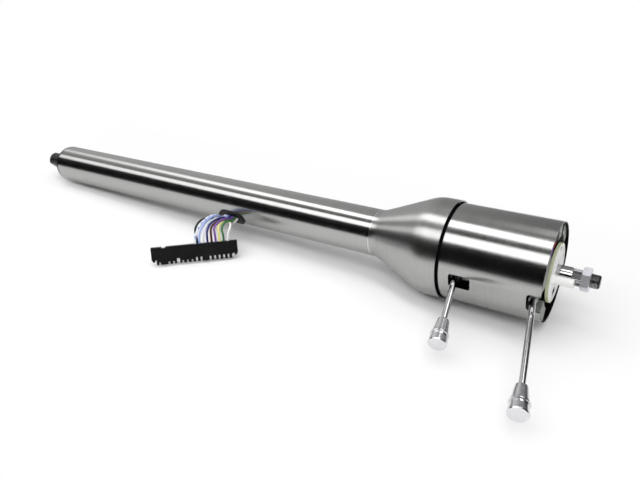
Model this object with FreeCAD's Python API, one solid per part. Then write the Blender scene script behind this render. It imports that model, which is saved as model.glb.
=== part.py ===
"""Tilt steering column for a floor-shift car, in millimetres.

The column's axis is +X, from the lower end of the jacket tube, at the origin,
to the steering wheel. +Z is up as the column lies, and both levers point to -Y.
Angles about the axis are counted from +Y towards +Z.
"""
import FreeCAD
import Part
import math
import os

V = FreeCAD.Vector
AXIS = V(1, 0, 0)
ORIGIN = V(0, 0, 0)

# Main lengths along the axis
TUBE_LENGTH = 585.0
BELL_LENGTH = 95.2
COVER_GAP = 3.4
SHROUD_LENGTH = 106.7
PIVOT_INSET = 5.0

# Jacket tube and the flared bell that ends it
TUBE_OD = 57.15
TUBE_WALL = 1.9
BELL_OVER_SHROUD = 4.6
BELL_WALL = 1.5
BELL_NECK = 5.1
BELL_CONE = 65.0
BELL_NECK_RADIUS = 22.0
BELL_SHOULDER_RADIUS = 42.0

# Upper shroud and its two windows
SHROUD_OD = 108.6
SHROUD_WALL = 1.4
TILT_WINDOW_START = 11.3
TILT_WINDOW_LENGTH = 23.7
TILT_WINDOW_TOP = 0.6
TILT_WINDOW_HEIGHT = 15.8
TILT_WINDOW_CORNER = 3.0
TURN_NOTCH_DEPTH = 13.8
TURN_NOTCH_TOP = 2.2
TURN_NOTCH_HEIGHT = 20.4
TURN_NOTCH_CORNER = 3.5

# Shafts
LOWER_STUB_OD = 25.4
LOWER_STUB_LENGTH = 45.0
STUB_ACROSS_FLATS = 20.3
FLATS_ANGLE = 225.0
FLATS_LENGTH = 38.0
JOURNAL_END = 60.0
SHAFT_OD = 19.05
WHEEL_SEAT = 17.7
SPLINE_LENGTH = 9.0
SPLINE_OD = 17.8
SPLINE_DEPTH = 0.7
SPLINE_TEETH = 36
THREAD_OD = 14.29
THREAD_LENGTH = 17.3
SHAFT_CHAMFER = 1.2
NUT_ACROSS_FLATS = 22.2
NUT_HEIGHT = 8.4
NUT_CHAMFER = 1.4
NUT_ANGLE = 15.0

# Joint between the two shafts
BALL_R = 13.0
FORK_R = 19.5
FORK_WIDTH = 12.0
FORK_REACH = 5.4
FORK_BACK = 24.0
FORK_HUB_R = 17.0
FORK_HUB_LENGTH = 9.0

# Bearings
BALL_BEARING_R = 1.5
RACE_WALL = 2.2
BALL_CLEAR = 0.1
BEARING_WIDTH = 8.0
BALLS_IN_BEARING = 14

# Lower end
ADAPTER_RIM = 2.5
ADAPTER_DEPTH = 20.0
ADAPTER_RIM_INSET = 0.7
ADAPTER_BORE_CLEAR = 1.0

# Support casting inside the bell
PLATE_START = 35.0
PLATE_THICKNESS = 5.0
PLATE_BORE_R = 27.0
PLATE_CLEAR = 0.2
SUPPORT_THICKNESS = 15.0
SUPPORT_R = 40.0
SUPPORT_BORE_R = 13.5
SUPPORT_SCREW_RADIUS = 33.0
SUPPORT_SCREW_R = 3.0
SUPPORT_HEAD_R = 5.0
SUPPORT_HEAD_HEIGHT = 5.0
SUPPORT_SOCKET_R = 2.5
SUPPORT_SOCKET_DEPTH = 3.0
SUPPORT_SCREW_ANGLES = (60.0, 120.0, 240.0, 300.0)
SUPPORT_EAR_Y = 28.0
EAR_THICKNESS = 7.5
SUPPORT_EAR_R = 9.5
PIVOT_PIN_R = 4.0
PIVOT_PIN_CLEAR = 0.05

# Tilt lock and spring
LOCK_Y = 20.8
LOCK_THICKNESS = 6.0
LOCK_INNER_R = 16.5
LOCK_OUTER_R = 30.0
LOCK_CLEAR = 0.5
LOCK_TEETH = 9
LOCK_TOOTH_DEPTH = 1.0
LOCK_START_ANGLE = 235
LOCK_END_ANGLE = 310
LOCK_FIRST_TOOTH = 244
LOCK_TOOTH_PITCH = 7
LOCK_ARM_END = 12.0
LOCK_ARM_HEIGHT = 6.0
SHOE_DEPTH = 5.5
SHOE_CLEAR = 0.1
SHOE_START_ANGLE = 260
SHOE_END_ANGLE = 300
SHOE_ARM_START = 10.0
SHOE_ARM_HALF = 3.0
SHOE_EYE_WALL = 2.5
SHOE_PIN_REACH = 5.0
SHOE_LUG_HALF_WIDTH = 8.0
SHOE_LUG_HALF_HEIGHT = 6.0
SHOE_PIN_X = 28.0
SHOE_PIN_Z = -34.0
SHOE_PIN_R = 2.5
SPRING_Z = -33.0
SPRING_OD = 15.0
SPRING_WIRE = 2.4
SPRING_TURNS = 9
SPRING_GUIDE_R = 4.4
SPRING_GUIDE_LENGTH = 29.0
SPRING_GUIDE_FLANGE = 2.5

# Black skirt that closes the gap between bell and shroud
SKIRT_CLEAR = 0.5
SKIRT_WALL = 1.2
SKIRT_BACK = 26.0
SKIRT_FRONT = 12.0
SKIRT_NOTCH_APEX = 4.0
SKIRT_NOTCH_SLOPE = 2.5
SKIRT_FLANGE = 1.5
SKIRT_SEAT_CLEAR = 0.2

# Head castings
HOUSING_FACE = 33.4
HOUSING_WEB = 9.0
HOUSING_RING = 23.0
HOUSING_WALL = 4.6
HOUSING_CLEAR = 0.3
HUB_R = 22.0
HUB_LENGTH = 54.4
HOUSING_EAR_Y = 36.0
HOUSING_EAR_R = 11.0
HUB_BORE_CLEAR = 3.0
NEAR_POST_BACK = 8.0
NEAR_POST_FRONT = 5.8
NEAR_ARM_TOP = 21.0
CHANNEL_WEB_CLEAR = 0.8
CHANNEL_DEPTH = 9.0
CHANNEL_LOW = -18.0
CHANNEL_TOP = 11.5
LEVER_LUG_START = 17.4
LEVER_LUG_DEPTH = 6.0
LEVER_LUG_TOP = 16.0
LEVER_LUG_LOW = -12.0
WEB_HOLE_RADIUS = 35.0
WEB_HOLE_R = 7.5
WEB_HOLE_ANGLES = (55, 125)
SWITCH_HOUSING_LENGTH = 31.0
SWITCH_FLANGE = 14.0
SWITCH_FLOOR = 4.0
SWITCH_WALL = 3.7
SWITCH_LAND_DEPTH = 16.6
SWITCH_FLOOR_CLEAR = 0.5
SWITCH_RING_CLEAR = 0.4
SWITCH_SCREW_INSET = 12.3
SWITCH_SCREW_DEPTH = 10.0
SWITCH_HEAD_HEIGHT = 2.5
SWITCH_SLOT_WIDTH = 1.0
SWITCH_SLOT_DEPTH = 1.0
SWITCH_SCREW_R = 2.0
SWITCH_SCREW_HEAD_R = 4.0
SWITCH_SCREW_ANGLES = (90.0, 225.0, 330.0)

# Turn switch and cancelling cam
CAM_FACE = 1.7
CAM_R = 32.0
CAM_THICKNESS = 3.2
CAM_RIM = 3.5
CAM_RECESS = 0.9
CAM_SLOTS = (
    (27.0, 19.5, 264, 288),
    (28.0, 23.5, 62, 71),
)
CAM_HUB_R = 14.0
CAM_HUB_LENGTH = 4.2
TOWER_R = 4.6
TOWER_RADIUS = 14.4
TOWER_FOOT_R = 5.8
TOWER_FOOT_LENGTH = 2.0
TOWER_ANGLE = 182.0
TOWER_LENGTH = 20.0
TOWER_BORE_R = 2.9
TOWER_BORE_DEPTH = 14.0
HORN_RING_THICKNESS = 0.8
HORN_RING_OUTER_R = 28.0
HORN_RING_INNER_R = 21.0
CAM_SPRING_R = 12.2
CAM_SPRING_TURNS = 3
CAM_SPRING_CLEAR = 0.2
SWITCH_BODY_START = 7.0
SWITCH_BODY_LENGTH = 22.5
SWITCH_BODY_INSET = 12.8
SWITCH_BODY_BORE_R = 24.0
SWITCH_BODY_FROM = 232
SWITCH_BODY_TO = 520
SWITCH_COLLAR_LENGTH = 12.0
SWITCH_COLLAR_R = 28.0
SWITCH_POCKETS = 6
SWITCH_POCKET_FIRST = 270
SWITCH_POCKET_STEP = 45
SWITCH_POCKET_R = 4.0
SWITCH_POCKET_DEPTH = 5.0
LEAD_R = 1.2
LEAD_INSET = 2.0
LEAD_DEPTHS = (4.6, 7.4, 10.2)

# Levers. A point of the tilt lever is (from the shroud's lower edge, y, z), and
# of the turn lever (from the shroud's face, y, z)
ROD_OD = 6.35
TILT_CROSSING = V(18.2, -53.7, -8.0)
TILT_TIP = V(34.1, -134.5, -34.0)
TURN_CROSSING = V(-7.0, -52.8, -12.5)
TURN_TIP = V(20.3, -187.2, -38.0)
LEVER_SOCKET_Y = -44.0
SOCKET_WALL = 1.4
SOCKET_END = 5.0
SOCKET_START = 2.0
SOCKET_DEPTH = 8.0
TILT_EYE_X = 25.4
TILT_EYE_Y = -34.0
TILT_EYE_Z = -2.0
EYE_R = 5.5
EYE_HEIGHT = 8.0
LEVER_PIN_R = 2.5
TILT_ARM_R = 2.4
PIN_CLEAR = 0.05
TURN_PIVOT_Y = -35.0
TURN_EYE_R = 6.0
TURN_EYE_LENGTH = 12.0
TURN_EYE_BACK = 7.5
TURN_PIN_BACK = 15.0
TURN_PIN_FRONT = 1.5
TURN_BOSS_R = 5.0
TURN_GAP_DEPTH = 7.0
TURN_GAP_INNER_R = 28.0

# Lands on the switch housing's front: start and end angle, how much their
# inner radius grows, how far their front stands back
SWITCH_LANDS = (
    (135, 178, 0.0, 0.0),
    (206, 238, 2.0, 0.0),
    (25, 55, 6.0, 2.0),
    (82, 97, 4.0, 0.0),
)

# Lever knobs: length and radii from the rod's side to the tip
KNOB_LENGTH = 31.6
KNOB_TOP_R = 5.4
KNOB_SHOULDER_R = 6.2
KNOB_SHOULDER = 2.2
KNOB_CONE_R = 8.0
KNOB_CONE_END = 16.4
KNOB_RING_R = 9.4
KNOB_RING_START = 17.8
KNOB_RING_END = 19.9
KNOB_GROOVE_R = 7.0
KNOB_WAIST_R = 8.6
KNOB_END_R = 9.5
KNOB_DOME = 1.0
KNOB_WAIST_END = 22.4
KNOB_EDGE = 0.5
KNOB_HOLE_DEPTH = 13.0

# Hazard knob on the far side
HAZARD_X = 74.0
HAZARD_ROD_R = 3.0
HAZARD_HOLE_R = 4.0
HAZARD_KNOB_R = 7.5
HAZARD_KNOB_LENGTH = 10.0
HAZARD_STANDOFF = 6.5
HAZARD_ROUND = 2.0
HAZARD_STEM_Y = 38.0
HAZARD_HOLE_Y = 30.0

# Wire grommet on the tube's near underside
GROMMET_X = 373.0
GROMMET_ANGLE = 208.0
GROMMET_LENGTH = 42.0
GROMMET_WIDTH = 22.0
GROMMET_LIP = 2.2
GROMMET_LIP_OVERLAP = 3.0
GROMMET_FIT = 0.1
GROMMET_MOUTH_X = 374.6
GROMMET_MOUTH_ANGLE = 202.6
GROMMET_MOUTH_LENGTH = 24.2
GROMMET_MOUTH_WIDTH = 6.3

# Wires and their plug
WIRE_OD = 2.8
HARNESS_R = 4.0
HARNESS_CLEAR = 0.3
HARNESS_END = 4.0
WIRE_FIRST_RUN = 11.6
WIRE_LAST_RUN = 8.5
PLUG_LENGTH = 108.0
PLUG_HEIGHT = 22.0
PLUG_DEPTH = 10.0
PLUG_SKIRT = 8.0
PLUG_WALL = 2.0
PLUG_RIB = 1.2
PLUG_RIB_HALF = 2.2
PLUG_RIB_HEIGHT = 10.0
PLUG_FOOT = 6.0
PLUG_NOTCH_START = 13.0
PLUG_NOTCH_END = 18.0
PLUG_NOTCH_DEPTH = 1.6
HOOK_LENGTH = 3.0
HOOK_INSET = 1.5
HOOK_LOW = 3.5
TERMINAL_INSET = 1.6
TERMINAL_CLEAR = 0.35
TERMINAL_LOW = 1.2
PLUG_PITCH = 5.73
PLUG_YAW = 45.2
PLUG_LEAN = 20.0
PLUG_CORNER_X = 342.4
PLUG_CORNER_Y = -147.4
FRONT_ROW_DEPTH = 3.6
BACK_ROW_DEPTH = 7.4

FIT = 0.02
OVERCUT = 1.0
ROUND = 0.5

# Places along the axis
X_SEAM = TUBE_LENGTH
X_MOUTH = X_SEAM + BELL_LENGTH
X_SHROUD = X_MOUTH + COVER_GAP
X_FACE = X_SHROUD + SHROUD_LENGTH
X_PIVOT = X_SHROUD + PIVOT_INSET
X_PLATE = X_SEAM + PLATE_START
X_SUPPORT = X_PLATE + PLATE_THICKNESS
X_SUPPORT_FRONT = X_SUPPORT + SUPPORT_THICKNESS
X_WEB = X_PIVOT + HOUSING_FACE
X_SWITCH = X_WEB + HOUSING_RING
X_CAM = X_FACE + CAM_FACE
X_SPLINE = X_FACE + WHEEL_SEAT
X_NUT = X_SPLINE + SPLINE_LENGTH
X_END = X_NUT + THREAD_LENGTH

# Lever points in the column's frame
TILT_AT_SHROUD = TILT_CROSSING + V(X_SHROUD, 0, 0)
TILT_END = TILT_TIP + V(X_SHROUD, 0, 0)
TURN_AT_SHROUD = TURN_CROSSING + V(X_FACE, 0, 0)
TURN_END = TURN_TIP + V(X_FACE, 0, 0)

# Radii that follow from those above
TUBE_R = TUBE_OD / 2
TUBE_BORE_R = TUBE_R - TUBE_WALL
SHROUD_R = SHROUD_OD / 2
BELL_R = SHROUD_R + BELL_OVER_SHROUD / 2
SHROUD_BORE_R = SHROUD_R - SHROUD_WALL
SKIRT_R = SHROUD_BORE_R - SKIRT_CLEAR
SHAFT_R = SHAFT_OD / 2
STUB_R = LOWER_STUB_OD / 2
THREAD_R = THREAD_OD / 2
HOUSING_R = SHROUD_BORE_R - HOUSING_CLEAR
SWITCH_SCREW_RADIUS = SHROUD_R - SWITCH_SCREW_INSET
SWITCH_BODY_R = SHROUD_R - SWITCH_BODY_INSET
SWITCH_LAND_R = HOUSING_R - SWITCH_LAND_DEPTH
ROD_R = ROD_OD / 2
FLOOR_SLOPE = (BELL_R - TUBE_R) / X_MOUTH

# Wires from left to right at the plug: name, place along the plug, place and
# angle in the grommet, then the three points that the wire arches over
WIRES = (
    ("wire_black", 58.00, 367.3, 205.2,
     V(369.9, -57.7, -2.8), V(366.2, -76.9, 2.9), V(367.5, -91.9, -5.0)),
    ("wire_lavender", 55.50, 365.2, 200.0,
     V(370.6, -57.2, 4.0), V(370.7, -82.4, 0.3), V(372.9, -90.3, -4.1)),
    ("wire_light_blue", 60.65, 369.4, 200,
     V(374.0, -57.6, 4.0), V(374.2, -79.7, -0.1), V(375.7, -88.2, -5.0)),
    ("wire_clear", 65.80, 371.5, 205.2,
     V(376.6, -55.4, -0.5), V(376.7, -75.5, -1.0), V(378.9, -84.3, -4.6)),
    ("wire_dark_blue", 70.95, 373.6, 200,
     V(382.2, -52.2, 0.2), V(379.7, -73.3, -0.5), V(382.2, -84.4, -6.3)),
    ("wire_brown", 76.10, 375.7, 205.2,
     V(381.5, -52.9, -4.4), V(382.7, -68.1, -2.5), V(383.4, -79.0, -4.8)),
    ("wire_purple", 81.25, 377.8, 200.0,
     V(386.1, -48.4, -2.7), V(386.3, -65.5, -0.6), V(386.4, -76.6, -5.3)),
    ("wire_yellow", 86.40, 379.9, 205.2,
     V(385.4, -50.2, -7.0), V(387.4, -60.2, -4.0), V(389.4, -71.6, -4.9)),
    ("wire_dark_green", 91.55, 382.0, 200,
     V(390.7, -45.2, -8.2), V(390.9, -55.4, -1.6), V(391.8, -68.8, -8.0)),
    ("wire_white", 96.70, 384.1, 205.2,
     V(387.8, -48.3, -12.0), V(394.0, -53.1, -5.7), V(400.9, -60.2, -7.3)),
)
BACK_ROW = ("wire_black",)

# The plug's openings, one letter a pitch: s small, b blind, L large, t tall,
# d the dividing rib
PLUG_PATTERN = "sbssLsssttdtttttt"
PLUG_FIRST = 9.8
WINDOW_SIZES = {"s": (2.6, 3.2), "L": (4.4, 6.4), "t": (2.9, 5.4)}


def rod(x0, x1, r, y=0.0, z=0.0):
    """A cylinder along the column's axis."""
    return Part.makeCylinder(r, x1 - x0, V(x0, y, z), AXIS)


def ring(x0, x1, outer, inner):
    """A ring about the column's axis."""
    return rod(x0, x1, outer).cut(rod(x0 - OVERCUT, x1 + OVERCUT, inner))


def block(x0, x1, y0, y1, z0, z1):
    """A box between two corners."""
    return Part.makeBox(x1 - x0, y1 - y0, z1 - z0, V(x0, y0, z0))


def cross_pin(x, z, r, y0, y1):
    """A cylinder along Y."""
    return Part.makeCylinder(r, y1 - y0, V(x, y0, z), V(0, 1, 0))


def upright_pin(x, y, r, z0, z1):
    """A cylinder along Z."""
    return Part.makeCylinder(r, z1 - z0, V(x, y, z0), V(0, 0, 1))


def bar(start, end, r):
    """A round bar between two points."""
    return Part.makeCylinder(r, (end - start).Length, start, end - start)


def around(shape, angle):
    """The shape turned about the column's axis."""
    return shape.rotated(ORIGIN, AXIS, angle)


def both_sides(shape):
    """The shape and its mirror image in the column's upright plane."""
    return shape, shape.mirror(ORIGIN, V(0, 1, 0))


def turned(points):
    """A solid turned about the axis from its outline of (x, radius) points."""
    corners = [V(x, r, 0) for x, r in points]
    outline = Part.makePolygon(corners + corners[:1])
    return Part.Face(outline).revolve(ORIGIN, AXIS, 360)


def sector(x0, x1, outer, inner, start, end):
    """Part of a ring, between two angles about the axis."""
    corners = [V(x0, inner, 0), V(x1, inner, 0), V(x1, outer, 0), V(x0, outer, 0)]
    face = Part.Face(Part.makePolygon(corners + corners[:1]))
    return around(face.revolve(ORIGIN, AXIS, end - start), start)


def at_radius(radius, angle):
    """The point of the YZ plane at a radius and angle."""
    turn = math.radians(angle)
    return V(0, radius * math.cos(turn), radius * math.sin(turn))


def rounded_path(points, radii):
    """Straight runs through the points, joined by tangent arcs."""
    edges = []
    here = points[0]
    for before, corner, after, radius in zip(points, points[1:], points[2:], radii):
        back = (before - corner).normalize()
        ahead = (after - corner).normalize()
        half = (math.pi - back.getAngle(ahead)) / 2
        reach = radius * math.tan(half)
        centre = corner + (back + ahead).normalize() * (radius / math.cos(half))
        middle = centre + (corner - centre).normalize() * radius
        start, end = corner + back * reach, corner + ahead * reach
        edges.append(Part.LineSegment(here, start).toShape())
        edges.append(Part.Arc(start, middle, end).toShape())
        here = end
    edges.append(Part.LineSegment(here, points[-1]).toShape())
    return Part.Wire(edges)


def corner_radii(points):
    """The largest arc that the two runs of each corner allow."""
    radii = []
    for before, corner, after in zip(points, points[1:], points[2:]):
        back, ahead = before - corner, after - corner
        half = (math.pi - back.getAngle(ahead)) / 2
        radii.append(0.45 * min(back.Length, ahead.Length) / math.tan(half))
    return radii


def cord_tube(name, points, diameter):
    """A cord's plain tube along its route."""
    radii = corner_radii(points)
    path = rounded_path(points, radii)
    start = points[0]
    section = Part.Wire(Part.makeCircle(diameter / 2, start, points[1] - start))
    tube = path.makePipeShell([section], True, False)
    area = math.pi * diameter * diameter / 4
    print(name, "length %.1f" % path.Length, "volume ratio %.4f" % (tube.Volume / area / path.Length),
          "radii", " ".join("%.1f" % r for r in radii))
    return tube


def bell_outline(inset):
    """The bell's line from neck to mouth, this far inside its outer face."""
    slope = math.atan((BELL_R - TUBE_R) / BELL_CONE)
    shift = inset * math.tan(slope / 2)
    neck = X_SEAM + BELL_NECK + shift
    points = [
        V(X_SEAM, TUBE_R - inset, 0),
        V(neck, TUBE_R - inset, 0),
        V(neck + BELL_CONE, BELL_R - inset, 0),
        V(X_MOUTH, BELL_R - inset, 0),
    ]
    return rounded_path(points, [BELL_NECK_RADIUS + inset, BELL_SHOULDER_RADIUS - inset])


def bell_bore_r(x):
    """The bell's inner radius where it is a cone."""
    slope = (BELL_R - TUBE_R) / BELL_CONE
    outer = TUBE_R + (x - X_SEAM - BELL_NECK) * slope
    return outer - BELL_WALL * math.hypot(1, slope)


def oval(length, width, x=GROMMET_X, angle=GROMMET_ANGLE):
    """A slot-shaped prism that stands out of the tube at the grommet."""
    half = (length - width) / 2
    solid = Part.makeBox(2 * half, width, TUBE_OD, V(-half, -width / 2, 0))
    for end in (-half, half):
        solid = solid.fuse(Part.makeCylinder(width / 2, TUBE_OD, V(end, 0, 0)))
    solid = solid.removeSplitter()
    solid.rotate(ORIGIN, AXIS, angle - 90)
    solid.translate(V(x, 0, 0))
    return solid


def pivot_sector(inner, outer, start, end, y0, y1):
    """Part of a ring about the tilt axis, between two angles from +X towards +Z."""
    steps = Part.makeCylinder(outer, y1 - y0, V(0, 0, 0), V(0, 0, 1), end - start)
    hole = Part.makeCylinder(inner, y1 - y0 + 2 * OVERCUT, V(0, 0, -OVERCUT))
    piece = steps.cut(hole)
    piece.rotate(ORIGIN, V(0, 0, 1), start)
    piece.rotate(ORIGIN, AXIS, 90)
    piece.translate(V(X_PIVOT, y1, 0))
    return piece


def bearing(x0, shaft_r):
    """Inner ring, balls and outer ring of a bearing on a shaft."""
    inner_r = shaft_r + FIT + RACE_WALL
    track = inner_r + BALL_BEARING_R + BALL_CLEAR
    outer_r = track + BALL_BEARING_R + BALL_CLEAR
    middle = x0 + BEARING_WIDTH / 2
    inner = ring(x0, x0 + BEARING_WIDTH, inner_r, shaft_r + FIT)
    outer = ring(x0, x0 + BEARING_WIDTH, outer_r + RACE_WALL, outer_r)
    balls = []
    for n in range(BALLS_IN_BEARING):
        place = at_radius(track, n * 360 / BALLS_IN_BEARING)
        balls.append(Part.makeSphere(BALL_BEARING_R, V(middle, place.y, place.z)))
    return inner, Part.makeCompound(balls), outer


def bearing_seat_r(shaft_r):
    """The bore that takes such a bearing's outer ring."""
    return shaft_r + 2 * (FIT + RACE_WALL + BALL_BEARING_R + BALL_CLEAR)


def jacket_tube():
    """Long tube of the column, with the oval hole for the wires."""
    tube = ring(0, X_SEAM, TUBE_R, TUBE_BORE_R)
    return tube.cut(oval(GROMMET_LENGTH - 2 * GROMMET_LIP_OVERLAP, GROMMET_WIDTH - 2 * GROMMET_LIP_OVERLAP))


def lower_bell():
    """Flared cover welded to the tube."""
    outer, inner = bell_outline(0), bell_outline(BELL_WALL)
    ends = [
        Part.LineSegment(V(X_SEAM, TUBE_R, 0), V(X_SEAM, TUBE_R - BELL_WALL, 0)).toShape(),
        Part.LineSegment(V(X_MOUTH, BELL_R, 0), V(X_MOUTH, BELL_R - BELL_WALL, 0)).toShape(),
    ]
    outline = Part.Wire(Part.__sortEdges__(outer.Edges + inner.Edges + ends))
    return Part.Face(outline).revolve(ORIGIN, AXIS, 360)


def wire_grommet():
    """Rubber grommet in the tube's oval hole."""
    inside = 2 * (GROMMET_LIP_OVERLAP + GROMMET_FIT)
    low, high = GROMMET_X - GROMMET_LENGTH, GROMMET_X + GROMMET_LENGTH
    lip = oval(GROMMET_LENGTH, GROMMET_WIDTH).common(ring(low, high, TUBE_R + GROMMET_LIP, TUBE_R))
    neck = oval(GROMMET_LENGTH - inside, GROMMET_WIDTH - inside).common(
        ring(low, high, TUBE_R + GROMMET_LIP / 2, TUBE_BORE_R))
    mouth = oval(GROMMET_MOUTH_LENGTH, GROMMET_MOUTH_WIDTH, GROMMET_MOUTH_X, GROMMET_MOUTH_ANGLE)
    return lip.fuse(neck).cut(mouth).removeSplitter()


def lower_bearing_adapter():
    """Plastic plug in the tube's lower end that holds the lower bearing."""
    seat = bearing_seat_r(STUB_R)
    body = ring(0, ADAPTER_DEPTH, TUBE_BORE_R - FIT, seat + FIT)
    rim = ring(-ADAPTER_RIM, 0, TUBE_R - ADAPTER_RIM_INSET, STUB_R + ADAPTER_BORE_CLEAR)
    return body.fuse(rim).removeSplitter()


def fork(x_end, direction, angle):
    """A two-eared fork that grips the ball of the shaft joint."""
    reach = X_PIVOT + direction * FORK_REACH
    back = X_PIVOT - direction * FORK_BACK
    low, high = min(reach, back), max(reach, back)
    ears = rod(low, high, FORK_R).common(
        block(low, high, -FORK_R, FORK_R, -FORK_WIDTH / 2, FORK_WIDTH / 2))
    hub_end = back - direction * FORK_HUB_LENGTH
    hub = rod(min(back, hub_end), max(back, hub_end), FORK_HUB_R)
    shaft = rod(min(x_end, back), max(x_end, back), SHAFT_R)
    ball = Part.makeSphere(BALL_R + LOCK_CLEAR, V(X_PIVOT, 0, 0))
    return around(ears.fuse([hub, shaft]).cut(ball), angle)


def lower_shaft():
    """Lower shaft, from the double-D end to its fork."""
    shaft = fork(JOURNAL_END, 1, 90)
    stub = rod(-LOWER_STUB_LENGTH, JOURNAL_END, STUB_R)
    stub = stub.makeChamfer(SHAFT_CHAMFER, [edge for edge in stub.Edges
                                            if edge.BoundBox.XMax < -LOWER_STUB_LENGTH + ROUND])
    flats_end = FLATS_LENGTH - LOWER_STUB_LENGTH
    for side in (0, 180):
        cut = block(-LOWER_STUB_LENGTH - OVERCUT, flats_end, STUB_ACROSS_FLATS / 2,
                    LOWER_STUB_OD, -LOWER_STUB_OD, LOWER_STUB_OD)
        stub = stub.cut(around(cut, FLATS_ANGLE + side))
    return shaft.fuse(stub).removeSplitter()


def spline(x0, x1):
    """A finely splined length of shaft."""
    corners = []
    for n in range(2 * SPLINE_TEETH):
        r = SPLINE_OD / 2 - SPLINE_DEPTH * (n % 2)
        corners.append(V(x0, 0, 0) + at_radius(r, n * 180 / SPLINE_TEETH))
    face = Part.Face(Part.makePolygon(corners + corners[:1]))
    return face.extrude(AXIS * (x1 - x0))


def upper_shaft():
    """Upper shaft, from its fork to the threaded end."""
    shaft = fork(X_SPLINE, -1, 0)
    shaft = shaft.cut(ring(X_SPLINE - SHAFT_CHAMFER, X_SPLINE + OVERCUT, SHAFT_OD,
                           SHAFT_R - SHAFT_CHAMFER / 2))
    thread = rod(X_NUT, X_END, THREAD_R)
    thread = thread.makeChamfer(SHAFT_CHAMFER, [edge for edge in thread.Edges
                                                if edge.BoundBox.XMin > X_END - ROUND])
    return shaft.fuse([spline(X_SPLINE, X_NUT), thread])


def wheel_nut():
    """Hexagon nut on the shaft's threaded end."""
    corner_r = NUT_ACROSS_FLATS / math.sqrt(3)
    end = X_NUT + NUT_HEIGHT
    corners = [V(X_NUT, 0, 0) + at_radius(corner_r, n * 60 + NUT_ANGLE) for n in range(7)]
    prism = Part.Face(Part.makePolygon(corners)).extrude(AXIS * NUT_HEIGHT)
    rounded = turned([(X_NUT, 0), (X_NUT, corner_r - NUT_CHAMFER), (X_NUT + NUT_CHAMFER / 2, corner_r),
                      (end - NUT_CHAMFER / 2, corner_r), (end, corner_r - NUT_CHAMFER), (end, 0)])
    return prism.common(rounded).cut(rod(X_NUT - OVERCUT, X_END, THREAD_R + FIT))


def jacket_end_plate():
    """Plate welded inside the bell."""
    plate = ring(X_PLATE, X_SUPPORT, bell_bore_r(X_PLATE) - PLATE_CLEAR, PLATE_BORE_R)
    return plate.cut(support_screw_holes())


def support_screw_holes():
    """Holes for the screws that hold the support."""
    holes = []
    for angle in SUPPORT_SCREW_ANGLES:
        place = at_radius(SUPPORT_SCREW_RADIUS, angle)
        holes.append(rod(X_PLATE - OVERCUT, X_SUPPORT_FRONT + OVERCUT, SUPPORT_SCREW_R + FIT,
                         place.y, place.z))
    return Part.makeCompound(holes)


def support_screws():
    """Socket screws through the support and the plate."""
    screws = []
    for angle in SUPPORT_SCREW_ANGLES:
        place = at_radius(SUPPORT_SCREW_RADIUS, angle)
        shank = rod(X_PLATE, X_SUPPORT_FRONT, SUPPORT_SCREW_R, place.y, place.z)
        top = X_SUPPORT_FRONT + SUPPORT_HEAD_HEIGHT
        head = rod(X_SUPPORT_FRONT, top, SUPPORT_HEAD_R, place.y, place.z)
        socket = rod(top - SUPPORT_SOCKET_DEPTH, top + OVERCUT, SUPPORT_SOCKET_R, place.y, place.z)
        screws.append(shank.fuse(head).cut(socket))
    return Part.makeCompound(screws)


def tilt_support():
    """Casting that carries the tilt pivots and the lock teeth."""
    solid = rod(X_SUPPORT, X_SUPPORT_FRONT, SUPPORT_R)
    ear = block(X_SUPPORT_FRONT - OVERCUT, X_PIVOT, SUPPORT_EAR_Y, SUPPORT_EAR_Y + EAR_THICKNESS,
                -SUPPORT_EAR_R, SUPPORT_EAR_R)
    boss = cross_pin(X_PIVOT, 0, SUPPORT_EAR_R, SUPPORT_EAR_Y, SUPPORT_EAR_Y + EAR_THICKNESS)
    lock_end = LOCK_Y + LOCK_THICKNESS
    teeth = pivot_sector(LOCK_INNER_R, LOCK_OUTER_R, LOCK_START_ANGLE, LOCK_END_ANGLE, LOCK_Y, lock_end)
    for n in range(LOCK_TEETH):
        angle = math.radians(LOCK_FIRST_TOOTH + LOCK_TOOTH_PITCH * n)
        x = X_PIVOT + LOCK_OUTER_R * math.cos(angle)
        z = LOCK_OUTER_R * math.sin(angle)
        teeth = teeth.cut(cross_pin(x, z, LOCK_TOOTH_DEPTH, LOCK_Y - OVERCUT, lock_end + OVERCUT))
    arm = block(X_SUPPORT_FRONT - OVERCUT, X_PIVOT - LOCK_ARM_END, LOCK_Y, lock_end,
                LOCK_ARM_HEIGHT - LOCK_OUTER_R, -LOCK_INNER_R)
    pieces = [piece for side in (ear, boss, teeth, arm) for piece in both_sides(side)]
    solid = solid.fuse(pieces)
    solid = solid.cut(rod(X_SUPPORT - OVERCUT, X_SUPPORT_FRONT + OVERCUT, SUPPORT_BORE_R))
    solid = solid.cut(support_screw_holes())
    harness = at_radius(harness_radius(), GROMMET_ANGLE)
    solid = solid.cut(rod(X_SUPPORT - OVERCUT, X_SUPPORT_FRONT + OVERCUT, HARNESS_R + HARNESS_CLEAR,
                          harness.y, harness.z))
    return solid.cut(Part.makeCompound([pivot_pin(side, FIT) for side in (1, -1)]))


def pivot_pin(side, grow):
    """One of the two pins that the head tilts on."""
    start = SUPPORT_EAR_Y
    end = HOUSING_EAR_Y + EAR_THICKNESS
    low, high = (start, end) if side > 0 else (-end, -start)
    return cross_pin(X_PIVOT, 0, PIVOT_PIN_R + grow, low, high)


def tilt_pivot_pins():
    return Part.makeCompound([pivot_pin(1, 0), pivot_pin(-1, 0)])


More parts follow.
